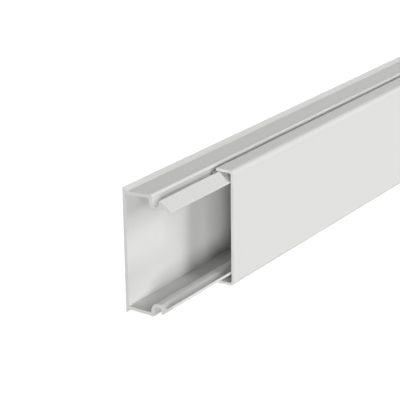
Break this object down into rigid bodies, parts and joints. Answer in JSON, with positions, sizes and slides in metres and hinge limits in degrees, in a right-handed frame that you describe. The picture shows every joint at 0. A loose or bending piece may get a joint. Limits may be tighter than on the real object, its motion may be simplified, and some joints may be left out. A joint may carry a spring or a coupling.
{
  "type": "cord cover raceway",
  "caption": "Straight cable raceway: a channel with snap grooves and inclined lips, and a clip-on cover slid along to bare its end.",
  "frame": {"origin": "middle of the overall length and width, on the back face of the base, which lies on the floor", "axes": "+X along the length, from the bared end of the base towards the far end; +Y across the width; +Z out of the back face, through the cover"},
  "size_m": [2.0312, 0.039, 0.018],
  "materials": {
    "base_plastic": "satin extruded rigid PVC, white",
    "cover_plastic": "satin extruded rigid PVC, white"
  },
  "bodies": {
    "root": {"base_channel": "base_plastic", "cover": "cover_plastic"}
  },
  "joints": []
}
